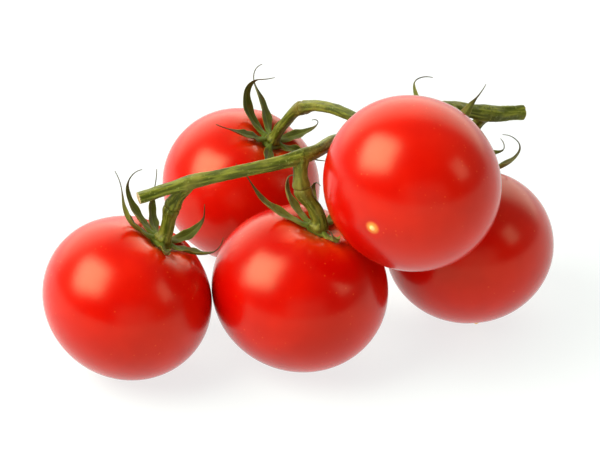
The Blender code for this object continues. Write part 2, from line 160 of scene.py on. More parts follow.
def skin_over(name, rings, first, last):
    """A closed smooth mesh over rings of points, drawn to a point at each end."""
    count, sides = len(rings), len(rings[0])
    corners = np.concatenate([*rings, [first], [last]])
    faces = []
    for k in range(count - 1):
        for i in range(sides):
            j = (i + 1) % sides
            a, b = k * sides, (k + 1) * sides
            faces.append((a + i, b + i, b + j, a + j))
    for i in range(sides):
        j = (i + 1) % sides
        faces.append((count * sides, i, j))
        faces.append((count * sides + 1, (count - 1) * sides + j, (count - 1) * sides + i))
    mesh = bpy.data.meshes.new(name)
    mesh.from_pydata(corners.tolist(), [], faces)
    return mesh


def piece(name, mesh, finish, node):
    """Puts a finished piece into the scene, where it stands for its node of the model."""
    mesh.materials.clear()
    mesh.materials.append(finish)
    mesh.shade_smooth()
    obj = bpy.data.objects.new(name, mesh)
    bpy.context.scene.collection.objects.link(obj)
    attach(obj, "root")
    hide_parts(node)
    return obj


class Wire:
    """An output of a shader node. Sums on wires add Math nodes, and node() adds any other kind."""

    def __init__(self, tree, socket=None):
        self.tree = tree
        self.socket = socket

    def node(self, kind, settings=(), sockets=(), output=0):
        """Adds a node of that kind: its settings first, then its sockets, as values or wires."""
        made = self.tree.nodes.new("ShaderNode" + kind)
        for name, value in dict(settings).items():
            setattr(made, name, value)
        for name, value in dict(sockets).items():
            if isinstance(value, Wire):
                self.tree.links.new(value.socket, made.inputs[name])
            else:
                made.inputs[name].default_value = value
        return Wire(self.tree, made.outputs[output] if made.outputs else None)

    def sum(self, operation, first, second):
        return self.node("Math", {"operation": operation}, {0: first, 1: second})

    def __add__(self, other):
        return self.sum("ADD", self, other)

    def __radd__(self, other):
        return self.sum("ADD", other, self)

    def __sub__(self, other):
        return self.sum("SUBTRACT", self, other)

    def __rsub__(self, other):
        return self.sum("SUBTRACT", other, self)

    def __mul__(self, other):
        return self.sum("MULTIPLY", self, other)

    def __rmul__(self, other):
        return self.sum("MULTIPLY", other, self)

    def __truediv__(self, other):
        return self.sum("DIVIDE", self, other)

    def __rtruediv__(self, other):
        return self.sum("DIVIDE", other, self)

    def __pow__(self, other):
        return self.sum("POWER", self, other)

    def __rpow__(self, other):
        return self.sum("POWER", other, self)

    def fade(self, start, end):
        """0 before start and 1 past end, smoothly between them."""
        ends = {"From Min": start, "From Max": end, "Value": self}
        return self.node("MapRange", {"interpolation_type": "SMOOTHSTEP"}, ends)

    def over(self, under, colour):
        """The colour under, covered with the other colour as far as this wire says."""
        settings = {"data_type": "RGBA", "clamp_factor": True}
        return self.node("Mix", settings, {0: self, 6: under, 7: colour}, output=2)

    def scaled(self, factor, shift=(0, 0, 0)):
        """This vector times a factor for each axis, plus a shift."""
        sockets = {0: self, 1: factor, 2: shift}
        return self.node("VectorMath", {"operation": "MULTIPLY_ADD"}, sockets)

    def parts(self):
        """The X, Y and Z of this vector, as three wires."""
        split = self.node("SeparateXYZ", (), {"Vector": self}).socket.node
        return [Wire(self.tree, output) for output in split.outputs]

    def cloud(self, scale, detail=2.0, roughness=0.5):
        """Soft noise from 0 to 1 over the points of this vector."""
        sockets = {"Vector": self, "Scale": scale, "Detail": detail, "Roughness": roughness}
        return self.node("TexNoise", (), sockets)


def rgb(red, green, blue):
    """A colour as a shader socket takes it."""
    return (red, green, blue, 1)


def new_finish(name):
    """An empty material, and a wire to start its nodes from."""
    made = bpy.data.materials.new(name)
    made.use_nodes = True
    made.node_tree.nodes.clear()
    return made, Wire(made.node_tree)


def close_finish(wire, sockets):
    """Ends a material in its shader, with those sockets set."""
    shader = wire.node("BsdfPrincipled", (), sockets)
    wire.node("OutputMaterial", (), {"Surface": shader})


def ripe_skin(fruit):
    """Ripe skin: deep red, blotched with orange-red, yellower round the stalk and round the scar."""
    made, wire = new_finish(f"ripe_skin_{fruit.name}")
    spot = wire.node("Attribute", {"attribute_name": "from_core"}, (), output="Vector")
    here = spot.scaled((1, 1, 1), (fruit.seed * 0.31, fruit.seed * 0.17, 0))
    x, y, z = spot.parts()
    rho = (x * x + y * y) ** 0.5
    upper = z.fade(0.0, 0.004)

    # The way round the axis, as a direction, so that streaks run straight down from the stalk
    heading = wire.node("CombineXYZ", (), {"X": x / (rho + 1e-5), "Y": y / (rho + 1e-5), "Z": rho * 60})
    streaks = heading.scaled((1, 1, 1), (fruit.seed, 0, 0)).cloud(3.4, 3.0)

    blotches = here.cloud(70, 3.0, 0.55)
    flecks = here.node("TexVoronoi", {"feature": "F1"}, {"Vector": here, "Scale": 900.0}, output="Distance")
    flecks = (1 - flecks.fade(0.08, 0.2)) * here.cloud(160).fade(0.52, 0.62)

    deep_red = rgb(0.455 - 0.05 * fruit.ripeness, 0.0008, 0.0001)
    bright_red = rgb(0.525, 0.0055 - 0.0025 * fruit.ripeness, 0.0002)
    orange_red = rgb(0.80, 0.09, 0.008)
    amber = rgb(0.70, 0.22, 0.03)
    pale_fleck = rgb(0.86, 0.16, 0.03)
    yellow = rgb(0.9, 0.36, 0.06)
    dry_tan = rgb(0.80, 0.55, 0.22)
    colour = blotches.fade(0.3, 0.7).over(deep_red, bright_red)
    shoulder = (1 - (rho + streaks * 0.004).fade(0.0035, 0.0115)) * upper
    colour = (shoulder * 0.45).over(colour, orange_red)
    rim = (1 - (rho + streaks * 0.003).fade(0.002, 0.0052)) * upper
    colour = (rim * 0.6).over(colour, amber)
    colour = (flecks * 0.2).over(colour, pale_fleck)
    halo = (1 - rho.fade(0.0004, 0.0015)) * (1 - upper)
    colour = (halo * 0.8).over(colour, yellow)
    scar = (1 - rho.fade(0.00035, 0.0006)) * (1 - upper)
    colour = scar.over(colour, dry_tan)

    peel = here.cloud(1500, 2.0) * 0.000012 + here.cloud(330, 2.0) * 0.00003
    bump = wire.node("Bump", (), {"Height": peel + flecks * 0.00001, "Strength": 0.5, "Distance": 1.0})
    roughness = 0.21 + here.cloud(110).fade(0.3, 0.8) * 0.05 + scar * 0.4
    close_finish(wire, {
        "Base Color": colour,
        "Roughness": roughness,
        "Normal": bump,
        "IOR": 1.4,
        "Specular Tint": (1.0, 0.88, 0.5, 1.0),
        "Subsurface Weight": 0.12,
        "Subsurface Radius": (1.0, 0.1, 0.03),
        "Subsurface Scale": 0.002,
    })
    return made


for fruit in FRUITS:
    rings = fruit_rings(fruit)
    stem_end = np.array([0, 0, fruit.skin_height(0) - STEM_END_DROP])
    blossom_end = np.array([0, 0, -fruit.height / 2 - SCAR_NUB])
    shape = placed(fruit.place, np.concatenate(rings))
    low, high = (np.array(corner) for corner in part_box(f"tomato_{fruit.name}"))
    middle = (low + high) / 2 - (shape.min(axis=0) + shape.max(axis=0)) / 2
    fruit.centre = Vector((middle[0], middle[1], high[2] - shape[:, 2].max()))

    # The table presses the underside flat
    everywhere = [*rings, stem_end[None], blossom_end[None]]
    rested = [placed(fruit.place, ring) for ring in everywhere]
    for ring in rested:
        ring[:, 2] = np.maximum(ring[:, 2], 0)
    mesh = skin_over(f"fruit_{fruit.name}", rested[:-2], rested[-2][0], rested[-1][0])
    from_core = mesh.attributes.new("from_core", "FLOAT_VECTOR", "POINT")
    from_core.data.foreach_set("vector", np.concatenate(everywhere).ravel())
    node = f"tomato_{fruit.name}"
    piece(f"fruit_{fruit.name}", mesh, ripe_skin(fruit), node)

# ---- The stalk
# A green stem, the rachis, runs over the fruits from its pruned stub to the cut that took the truss
# off the vine. Towards every fruit it sends a spur, which ends in a swollen knuckle. The stem is
# faintly ribbed and lumpy, and swells where a spur leaves it.

TOUCH_GAP = 0.0003
RACHIS_CLEARANCE = 0.0005
RACHIS_TIP_RADIUS = 0.00105
RACHIS_BASE_RADIUS = 0.00135
NODE_SWELLING = 0.00025
NODE_LENGTH = 0.0024
KNUCKLE_SWELLING = 0.0004
KNUCKLE_LENGTH = 0.0016
GROOVE_DEPTH = 0.00022  # of the ring round a knuckle, where the fruit would snap off
GROOVE_WIDTH = 0.0003
FORK_FLARE = 0.0003
FORK_LENGTH = 0.0016
RIB_COUNT = 5
RIB_HEIGHT = 0.05  # as a share of the stem's radius, like the lumps
RIB_TWIST = 130.0  # radians for each metre of stem
LUMP_HEIGHT = 0.13
LUMP_SCALE = 380.0
GRIT_HEIGHT = 0.035
GRIT_SCALE = 1700.0
STUB_RUN = Vector((-0.0086, -0.0030, -0.0012))
PEDUNCLE_RUN = Vector((0.0066, 0.0026, -0.0014))
CUT_HOLLOW = 0.00022
ROUTE_STEP = 0.0019
STEM_STEP = 0.0003
STEM_SIDES = 36
STALK_VOXEL = 0.00012
CUT_EDGE = STALK_VOXEL * 1.5  # how far behind a cut face the skin still counts as cut
FORK_SMOOTHING = 6  # rounds of smoothing, which fill the creases where stems meet
HUB_RADIUS = 0.0021  # of the calyx, over which the short stalk stands
HUB_THICKNESS = 0.0009
SEPAL_ROOT_WIDTH = 0.0011


def hermite(start, leaving, end, arriving, count):
    """Points of a cubic from start to end with those end tangents, both ends included."""
    points = []
    for k in range(count + 1):
        t = k / count
        a, c = 2 * t**3 - 3 * t**2 + 1, 3 * t**2 - 2 * t**3
        b, d = t**3 - 2 * t**2 + t, t**3 - t**2
        points.append(start * a + leaving * b + end * c + arriving * d)
    return points


def through(knots, step):
    """A smooth curve through the knots, with a point about every step."""
    runs = [(after - before).normalized() for before, after in zip(knots, knots[1:])]
    slopes = [runs[0], *((a + b).normalized() for a, b in zip(runs, runs[1:])), runs[-1]]
    points = [knots[0]]
    for k in range(len(runs)):
        reach = (knots[k + 1] - knots[k]).length
        count = max(2, round(reach / step))
        points += hermite(knots[k], slopes[k] * reach, knots[k + 1], slopes[k + 1] * reach, count)[1:]
    return points


def kept_clear(points, radius):
    """The route pushed out of every fruit, so that a stem of that radius passes it by."""
    moved = []
    for point in points:
        for fruit in FRUITS:
            room = max(fruit.width, fruit.height) / 2 + radius + RACHIS_CLEARANCE
            away = point - fruit.centre
            if away.length < room:
                point = fruit.centre + away.normalized() * room
        moved.append(point)
    return moved


class Pedicel:
    """A fruit's way to the rachis: a short stalk of its own as far as the knuckle, then a spur."""

    def __init__(self, fruit, to_knuckle, to_rachis, thickness):
        self.fruit = fruit
        self.radius = thickness / 2
        hub_edge = math.hypot(HUB_RADIUS, SEPAL_ROOT_WIDTH / 2)
        self.hub_top = fruit.skin_height(hub_edge) + TOUCH_GAP + HUB_THICKNESS
        self.start = fruit.place @ Vector((0, 0, self.hub_top + TOUCH_GAP))
        self.heading = (Vector(to_knuckle).normalized() + Vector(to_rachis).normalized()).normalized()
        self.joint = self.start + Vector(to_knuckle) + self.heading * TOUCH_GAP / 2
        self.junction = self.start + Vector(to_knuckle) + Vector(to_rachis)

    def short_stalk_points(self):
        reach = (self.joint - self.start).length
        leaving, arriving = self.fruit.axis * reach, self.heading * reach
        return hermite(self.start, leaving, self.joint, arriving, round(reach / STEM_STEP))

    def spur_points(self):
        run = self.junction - self.joint
        arriving = (run.normalized() * 2 - self.heading) * run.length / 2
        count = round(run.length / STEM_STEP)
        return hermite(self.joint, self.heading * run.length, self.junction, arriving, count)

    def knuckle_radius(self, point):
        """Radius of the short stalk or the spur there, from the knuckle's swelling and its groove."""
        off = (point - self.joint).length
        radius = self.radius + swelling(off, KNUCKLE_SWELLING, KNUCKLE_LENGTH)
        return radius - swelling(off, GROOVE_DEPTH, GROOVE_WIDTH)


class Stem:
    """A round stem along a line of points, each with its radius."""

    def __init__(self, points, radii, first=None, last=None):
        self.points = points
        self.radii = radii
        along = [after - before for before, after in zip(points, points[2:])]
        ends = (first or points[1] - points[0], last or points[-1] - points[-2])
        self.headings = [run.normalized() for run in (ends[0], *along, ends[1])]
        side = self.headings[0].orthogonal()
        self.sides = []
        self.others = []
        for heading in self.headings:
            side = (side - heading * side.dot(heading)).normalized()
            self.sides.append(side)
            self.others.append(side.cross(heading))
        steps = [(after - before).length for before, after in zip(points, points[1:])]
        self.runs = np.concatenate([[0], np.cumsum(steps)])

    def skin(self, name):
        """The stem's round skin as a closed mesh, cut square at both ends."""
        turns = np.linspace(0, 2 * math.pi, STEM_SIDES, endpoint=False)[:, None]
        rings = []
        for point, radius, side, other in zip(self.points, self.radii, self.sides, self.others):
            round_about = np.array(side) * np.cos(turns) + np.array(other) * np.sin(turns)
            rings.append(np.array(point) + round_about * radius)
        return skin_over(name, rings, np.array(self.points[0]), np.array(self.points[-1]))


def grown_skin(mesh, stems, knuckles, forks, cuts):
    """Ribs and roughens the stems' skin, hollows the cut faces, and marks grain, knuckles and cuts."""
    owners = [(stem, k) for stem in stems for k in range(len(stem.points))]
    finder = KDTree(len(owners))
    for i, (stem, k) in enumerate(owners):
        finder.insert(stem.points[k], i)
    finder.balance()
    grain, tinge, cut = [], [], []
    for corner in mesh.vertices:
        where = corner.co.copy()
        stem, k = owners[finder.find(where)[1]]
        away = where - stem.points[k]
        across, up = away.dot(stem.sides[k]), away.dot(stem.others[k])
        run = stem.runs[k] + away.dot(stem.headings[k])
        grain += (across, up, run)
        tinge.append(max(swelling((where - knuckle).length, 1, KNUCKLE_LENGTH) for knuckle in knuckles))
        near_fork = max((swelling((where - fork).length, 1, FORK_LENGTH) for fork in forks), default=0)
        ribs = math.cos(RIB_COUNT * math.atan2(up, across) + RIB_TWIST * run) * (1 - near_fork)
        rise = RIB_HEIGHT * ribs + LUMP_HEIGHT * noise.noise(where * LUMP_SCALE)
        rise += GRIT_HEIGHT * noise.noise(where * GRIT_SCALE)
        outward = stem.sides[k] * across + stem.others[k] * up
        corner.co = where + outward * rise
        faced = 0.0
        for end, heading, radius in cuts:
            from_end = where - end
            depth = from_end.dot(heading)
            off_middle = (from_end - heading * depth).length / radius
            if depth > -CUT_EDGE and from_end.length < radius * 2:
                faced = 1.0
                corner.co -= heading * CUT_HOLLOW * max(0, 1 - off_middle**2)
        cut.append(faced)
    mesh.attributes.new("grain", "FLOAT_VECTOR", "POINT").data.foreach_set("vector", grain)
    mesh.attributes.new("knuckle", "FLOAT", "POINT").data.foreach_set("value", tinge)
    mesh.attributes.new("cut", "FLOAT", "POINT").data.foreach_set("value", cut)
    return mesh


def joined_skin(name, stems):
    """One skin round stems that run into each other, with the creases between them filled."""
    whole = bmesh.new()
    for stem in stems:
        mesh = stem.skin(name)
        whole.from_mesh(mesh)
        bpy.data.meshes.remove(mesh)
    mesh = bpy.data.meshes.new(name)
    whole.to_mesh(mesh)
    whole.free()
    bundle = bpy.data.objects.new("bundle", mesh)
    bpy.context.scene.collection.objects.link(bundle)
    remesh = bundle.modifiers.new("one_skin", "REMESH")
    remesh.mode = "VOXEL"
    remesh.voxel_size = STALK_VOXEL
    soften = bundle.modifiers.new("soften", "SMOOTH")
    soften.factor = 0.5
    soften.iterations = FORK_SMOOTHING
    shown = bundle.evaluated_get(bpy.context.evaluated_depsgraph_get())
    made = bpy.data.meshes.new_from_object(shown)
    bpy.data.objects.remove(bundle)
    made.name = name
    return made


def green_stalk():
    """Green stem skin: streaked lengthwise, yellower in places, brown at the knuckles, tan where cut."""
    made, wire = new_finish("green_stalk")
    grain = wire.node("Attribute", {"attribute_name": "grain"}, (), output="Vector")
    knuckle = wire.node("Attribute", {"attribute_name": "knuckle"}, (), output="Fac")
    cut = wire.node("Attribute", {"attribute_name": "cut"}, (), output="Fac")
    spot = wire.node("TexCoord", (), (), output="Object")

    dark_green, light_green = rgb(0.034, 0.050, 0.001), rgb(0.16, 0.185, 0.018)
    yellow_green = rgb(0.23, 0.22, 0.035)
    brown = rgb(0.12, 0.07, 0.012)
    pale_green = rgb(0.28, 0.34, 0.08)
    brown_pith, tan_pith = rgb(0.25, 0.18, 0.08), rgb(0.46, 0.37, 0.20)

    streaks = grain.scaled((1, 1, 0.12)).cloud(2100, 3.0)
    patches = spot.cloud(240, 3.0)
    colour = streaks.fade(0.38, 0.72).over(dark_green, light_green)
    colour = (patches.fade(0.48, 0.72) * 0.5).over(colour, yellow_green)
    aged_streaks = streaks.fade(0.6, 0.75) * patches.fade(0.5, 0.62) * 0.5
    tinge = knuckle * patches.fade(0.3, 0.55) * 0.8 + aged_streaks
    colour = tinge.over(colour, brown)
    specks = spot.cloud(2600, 1.0).fade(0.64, 0.72) * 0.4
    colour = specks.over(colour, pale_green)
    pith = spot.cloud(1800, 2.0).fade(0.35, 0.65).over(brown_pith, tan_pith)
    colour = cut.over(colour, pith)

    relief = streaks * 0.00007 + spot.cloud(3200, 2.0) * 0.00004
    bump = wire.node("Bump", (), {"Height": relief, "Strength": 0.8, "Distance": 1.0})
    close_finish(wire, {
        "Base Color": colour,
        "Roughness": 0.4 + streaks * 0.15 + cut * 0.25,
        "Normal": bump,
        "Specular IOR Level": 0.35,
        "Specular Tint": (1.0, 0.95, 0.5, 1.0),
        "Subsurface Weight": 0.1,
        "Subsurface Radius": (0.4, 0.6, 0.1),
        "Subsurface Scale": 0.001,
    })
    return made


PEDICELS = (
    Pedicel(TIP, (0.0016, 0.0, 0.0063), (0.0029, -0.0002, 0.0050), 0.0024),
    Pedicel(FRONT, (-0.0029, 0.0008, 0.00705), (-0.0002, 0.0014, 0.0056), 0.0026),
    Pedicel(BACK, (0.0052, -0.0026, 0.0081), (0.0122, -0.0144, 0.0045), 0.0020),
    Pedicel(TOP, (0.0024, 0.0054, 0.0006), (-0.0026, 0.0042, 0.0004), 0.0022),
    Pedicel(BASE, (0.0010, 0.0024, 0.0058), (0.0032, -0.0008, 0.0054), 0.0022),
)
junctions = [pedicel.junction for pedicel in PEDICELS]
route = through([junctions[0] + STUB_RUN, *junctions, junctions[-1] + PEDUNCLE_RUN], ROUTE_STEP)
route = kept_clear(route, RACHIS_BASE_RADIUS)
for pedicel in PEDICELS:
    pedicel.junction = min(route, key=lambda point: (point - pedicel.junction).length)
junctions = [pedicel.junction for pedicel in PEDICELS]
route = through(route, STEM_STEP)

radii = []
for k, point in enumerate(route):
    radius = RACHIS_TIP_RADIUS + (RACHIS_BASE_RADIUS - RACHIS_TIP_RADIUS) * k / (len(route) - 1)
    nearest = min((point - junction).length for junction in junctions)
    radii.append(radius + swelling(nearest, NODE_SWELLING, NODE_LENGTH))
rachis = Stem(route, radii)
spurs = []
for pedicel in PEDICELS:
    points = pedicel.spur_points()
    flares = [swelling((point - pedicel.junction).length, FORK_FLARE, FORK_LENGTH) for point in points]
    radii = [pedicel.knuckle_radius(point) + flare for point, flare in zip(points, flares)]
    spurs.append(Stem(points, radii, first=pedicel.heading))

cuts = (
    (rachis.points[0], -rachis.headings[0], rachis.radii[0]),
    (rachis.points[-1], rachis.headings[-1], rachis.radii[-1]),
)
knuckles = [pedicel.joint for pedicel in PEDICELS]
skin = grown_skin(joined_skin("truss_stalk", [rachis, *spurs]), [rachis, *spurs], knuckles, junctions, cuts)
stem_finish = green_stalk()
piece("truss_stalk", skin, stem_finish, "stalk")

# ---- The short stalks
# Each fruit hangs on a short stalk of its own, between its calyx and the knuckle. It is the same green
# stem, a little thicker at both ends: it flares out over the calyx, and meets the spur at the groove
# round the knuckle.

CALYX_FLARE = 0.0005
CALYX_FLARE_LENGTH = 0.0009
SUNK_IN_HUB = 0.0005

short_stalks = []
for pedicel in PEDICELS:
    points = [pedicel.start - pedicel.fruit.axis * SUNK_IN_HUB, *pedicel.short_stalk_points()]
    flares = [swelling((point - points[0]).length, CALYX_FLARE, CALYX_FLARE_LENGTH) for point in points]
    radii = [pedicel.knuckle_radius(point) + flare for point, flare in zip(points, flares)]
    short_stalk = Stem(points, radii, pedicel.fruit.axis, pedicel.heading)
    short_stalks.append(short_stalk)
    name = f"short_stalk_{pedicel.fruit.name}"
    skin = grown_skin(short_stalk.skin(name), [short_stalk], [pedicel.joint], (), ())
    piece(name, skin, stem_finish, f"pedicel_{pedicel.fruit.name}")

# ---- The calyxes
# The green star on each fruit: five to seven narrow sepals that grow out of one hub in the dimple. They
# have begun to dry, so that they lift off the fruit, roll in along their edges and end in brown curled
# threads. A shallow groove runs down the middle of each, over a rib on its underside.

WIDEST_AT = 1 / 3  # of the way along a sepal
SEPAL_WIDTH = 0.0022
SEPAL_TAPER = 1.3
SEPAL_THICKNESS = 0.00036
THREAD_THICKNESS = 0.35  # as a share of the sepal's thickness
ROOT_SHARE = 0.25  # of the length, over which the root opens into the blade
HUB_TAPER = 3.5  # how soon the hub's thickness runs out along the sepal
EDGE_ROLL = 0.42  # rise of the edges over the middle, as a share of half the width
ROLL_SHARPNESS = 1.7
ROLL_AT_ROOT, ROLL_GAIN = 0.8, 0.5  # the roll grows from root to tip
EDGE_WAVE = 0.16  # as a share of half the width
WAVE_TURN = 17.0  # radians of the edges' waves over the sepal's length
WAVE_SLANT = 1.5
RIB_DEPTH = 0.00022
RIB_WIDTH = 0.17  # as a share of half the width
CHANNEL_WIDTH = 0.12
CHANNEL_SHARE = 0.5  # depth of the groove on the upper side, as a share of the rib's
WANDER = 0.25  # radians that a sepal strays to either side
WANDER_SCALE = 3.1
PHASE_TURN = 0.7  # sets each sepal's waves and wander apart from the others'
THREAD_START = 0.82  # share of the length at which the thread begins to curl
THREAD_WIDTH = 0.0003
THREAD_END = 0.00012
THREAD_REACH = 1.32  # where the thread ends, as a share of the sepal's length
SEPAL_STEPS = 56
SEPAL_POINTS = 28  # round a sepal
SKIN_GAP = 0.00012
STEM_ROOM = 0.0009  # kept between a sepal's middle and a stem's skin
SEPAL_ROOM = STEM_ROOM * 1.6  # kept between the middles of two fruits' sepals
HUB_BULGE = 0.0004
HUB_RINGS = (0.82, 0.6, 0.36)


@dataclass
class Sepal:
    azimuth: float  # degrees round the fruit's axis, from its right-hand side
    length: float
    lift: float  # degrees that it has turned away from the skin near its end
    hook: float = 0.0  # further degrees over the last stretch
    sway: float = 0.0  # degrees that it drifts round the axis by its tip
    twist: float = 0.0  # degrees that it turns about its own length
    curl: float = 0.0  # degrees that its thread winds on by


# For each fruit: how much of its sepals is patched yellow-green, from 0 to 1, and the sepals themselves. The
# patches are partly yellowing, and on the front fruit mostly painted light for its better-lit calyx
CALYXES = (
    (TIP, 0.1, (
        Sepal(0, 0.0080, 45, 10, 0, -20, 60),
        Sepal(46, 0.0090, 90, 25, -6, 30, 10),
        Sepal(118, 0.0095, 92, -25, 4, 20, -20),
        Sepal(148, 0.0108, 66, -8, -2, -25, 80),
        Sepal(194, 0.0115, 88, -25, -10, 30, -30),
        Sepal(275, 0.0060, 25, 10, 0, -20, 60),
    )),
    (FRONT, 0.75, (
        Sepal(52, 0.0080, 75, 30, 0, 30, 80),
        Sepal(104, 0.0080, 90, 30, 0, -20, 60),
        Sepal(140, 0.0105, 95, 25, -8, 35, 80),
        Sepal(176, 0.0130, 62, -10, -6, -20, -20),
        Sepal(304, 0.0070, 100, 60, -10, 25, 60),
    )),
    (BACK, 0.05, (
        Sepal(34, 0.0085, 42, 10, 0, -30, 150),
        Sepal(70, 0.0050, 40, 10, 0, 20, 30),
        Sepal(106, 0.0115, 42, -18, 42, 35, 100),
        Sepal(146, 0.0133, 112, 25, -18, -40, -15),
        Sepal(198, 0.0080, 22, -15, -8, 20, 0),
        Sepal(258, 0.0070, 15, 20, 0, -20, 40),
        Sepal(350, 0.0065, 8, 0, 0, 25, 20),
    )),
    (TOP, 0.2, (
        Sepal(4, 0.0090, 60, 30, 0, 25, 60),
        Sepal(84, 0.0080, 60, 20, 0, -20, 50),
        Sepal(160, 0.0120, 35, 40, 10, 20, 70),
        Sepal(222, 0.0120, 50, 30, -10, -25, 60),
        Sepal(292, 0.0090, 85, 20, 0, 25, -80),
    )),
    (BASE, 0.3, (
        Sepal(10, 0.0110, 40, 50, 0, 20, 90),
        Sepal(76, 0.0100, 60, 30, 0, -30, 60),
        Sepal(140, 0.0110, 45, 40, 0, 25, 80),
        Sepal(212, 0.0080, 30, 30, 0, -20, 60),
        Sepal(292, 0.0090, 30, 40, 0, 20, 70),
    )),
)


def sepal_width(s):
    """Width at a share s of the length: a narrow root, a broad third, then a taper into the thread."""
    if s < WIDEST_AT:
        return SEPAL_ROOT_WIDTH + (SEPAL_WIDTH - SEPAL_ROOT_WIDTH) * math.sin(s * 1.5 * math.pi)
    if s < 1:
        taper = math.cos((s - WIDEST_AT) * 0.75 * math.pi) ** SEPAL_TAPER
        return THREAD_WIDTH + (SEPAL_WIDTH - THREAD_WIDTH) * taper
    return THREAD_WIDTH + (THREAD_END - THREAD_WIDTH) * (s - 1) / (THREAD_REACH - 1)


def sepal_ring(point, ahead, side, s, phase):
    """Points round the sepal at a share s of its length, from its right edge over its upper side."""
    normal = ahead.cross(side).normalized()
    half = sepal_width(s) / 2
    blade = min(1.0, half / (SEPAL_WIDTH / 2)) * min(1.0, s / ROOT_SHARE)
    full = SEPAL_THICKNESS * (THREAD_THICKNESS + (1 - THREAD_THICKNESS) * blade)
    thickness = max(full, HUB_THICKNESS * (1 - HUB_TAPER * s))
    thickness = min(thickness, half * 2) if s > 0.5 else thickness
    roll = EDGE_ROLL * (ROLL_AT_ROOT + ROLL_GAIN * s) * blade
    ring = []
    for i in range(SEPAL_POINTS):
        turn = 2 * math.pi * i / SEPAL_POINTS
        across, above = math.cos(turn), math.sin(turn)
        wave = EDGE_WAVE * math.sin(WAVE_TURN * s + phase + WAVE_SLANT * across) * abs(across) ** 3 * blade
        rise = half * (roll * abs(across) ** ROLL_SHARPNESS + wave) + thickness / 2 * above
        width, share = (RIB_WIDTH, 1) if above < 0 else (CHANNEL_WIDTH, CHANNEL_SHARE)
        rise -= RIB_DEPTH * blade * swelling(across, 1, width) * share
        ring.append(point - side * (half * across) + normal * rise)
    return ring


def sepal_rings(fruit, sepal, hub_floor, obstacles):
    """The sepal's rings in the fruit's frame, from the hub to the end of its thread."""
    phase = sepal.azimuth * PHASE_TURN + fruit.seed
    start = math.radians(sepal.azimuth)
    point = Vector((math.cos(start), math.sin(start), 0)) * HUB_RADIUS
    point.z = hub_floor + HUB_THICKNESS / 2
    rings = []
    for k in range(SEPAL_STEPS + 1):
        s = THREAD_REACH * k / SEPAL_STEPS
        azimuth = start + math.radians(sepal.sway) * min(1, s) ** 2
        turned = sepal.lift * min(1, s) ** 1.2 + sepal.hook * min(1, s) ** 4
        turned += sepal.curl * max(0, s - THREAD_START) / (THREAD_REACH - THREAD_START)
        turned = math.radians(turned)
        wander = WANDER * min(1, s * 1.5) * noise.noise(Vector((s * WANDER_SCALE, phase, 0)))
        outward = Vector((math.cos(azimuth + wander), math.sin(azimuth + wander), 0))
        ahead = outward * math.cos(turned) + Vector((0, 0, math.sin(turned)))
        flat = Vector((-outward.y, outward.x, 0))
        twist = math.radians(sepal.twist) * s**1.5
        side = flat * math.cos(twist) + ahead.cross(flat) * math.sin(twist)
        for centre, room in obstacles:
            away = point - centre
            if k and away.length < room:
                point = centre + away.normalized() * room
        ring = sepal_ring(point, ahead, side, s, phase)
        lift = Vector((0, 0, 0))
        for corner in ring:
            rho = math.hypot(corner.x, corner.y)
            if k and rho < fruit.radius:
                lift.z = max(lift.z, fruit.skin_height(rho) + SKIN_GAP - corner.z)
        rings.append([corner + lift for corner in ring])
        point = point + lift + ahead * (sepal.length * THREAD_REACH / SEPAL_STEPS)
    return rings


def calyx_skin(fruit, sepals, hub_floor, obstacles):
    """One closed skin over the hub and its sepals, with each point's place on its sepal."""
    bm = bmesh.new()
    blade = bm.verts.layers.float_vector.new("blade")
    half = SEPAL_POINTS // 2

    def corner(where, across, s, above):
        made = bm.verts.new(where)
        made[blade] = (across, s, above)
        return made

    roots = []
    for sepal in sepals:
        loops = []
        for k, ring in enumerate(sepal_rings(fruit, sepal, hub_floor, obstacles)):
            turns = [2 * math.pi * i / SEPAL_POINTS for i in range(SEPAL_POINTS)]
            s = THREAD_REACH * k / SEPAL_STEPS
            loops.append([corner(p, math.cos(t), s, math.sin(t)) for p, t in zip(ring, turns)])
        for loop, following in zip(loops, loops[1:]):
            for i in range(SEPAL_POINTS):
                j = (i + 1) % SEPAL_POINTS
                bm.faces.new((loop[i], loop[j], following[j], following[i]))
        bm.faces.new(loops[-1])
        roots.append(loops[0])

    # The hub: the roots' upper edges close over its top, and their lower edges under it
    upper = [v for root in roots for v in root[:half + 1]]
    lower = [v for root in roots for v in [root[0], *reversed(root[half:])]]
    for edge, middle, above in ((upper, hub_floor + HUB_THICKNESS + HUB_BULGE, 1.0), (lower, None, -1.0)):
        loop = edge
        for share in HUB_RINGS:
            inner = []
            for v in edge:
                where = v.co * share
                rho = math.hypot(where.x, where.y)
                if middle is None:
                    where.z = fruit.skin_height(rho) + SKIN_GAP
                else:
                    where.z = v.co.z + (middle - v.co.z) * (1 - share)
                inner.append(corner(where, 0.5, 0.0, above))
            for i in range(len(edge)):
                j = (i + 1) % len(edge)
                bm.faces.new((loop[i], loop[j], inner[j], inner[i]))
            loop = inner
        height = middle or fruit.skin_height(0) + SKIN_GAP
        pole = corner(Vector((0, 0, height)), 0.5, 0.0, above)
        for i in range(len(loop)):
            bm.faces.new((pole, loop[i], loop[(i + 1) % len(loop)]))
    bmesh.ops.recalc_face_normals(bm, faces=bm.faces)
    mesh = bpy.data.meshes.new(f"sepals_{fruit.name}")
    bm.to_mesh(mesh)
    bm.free()
    return mesh


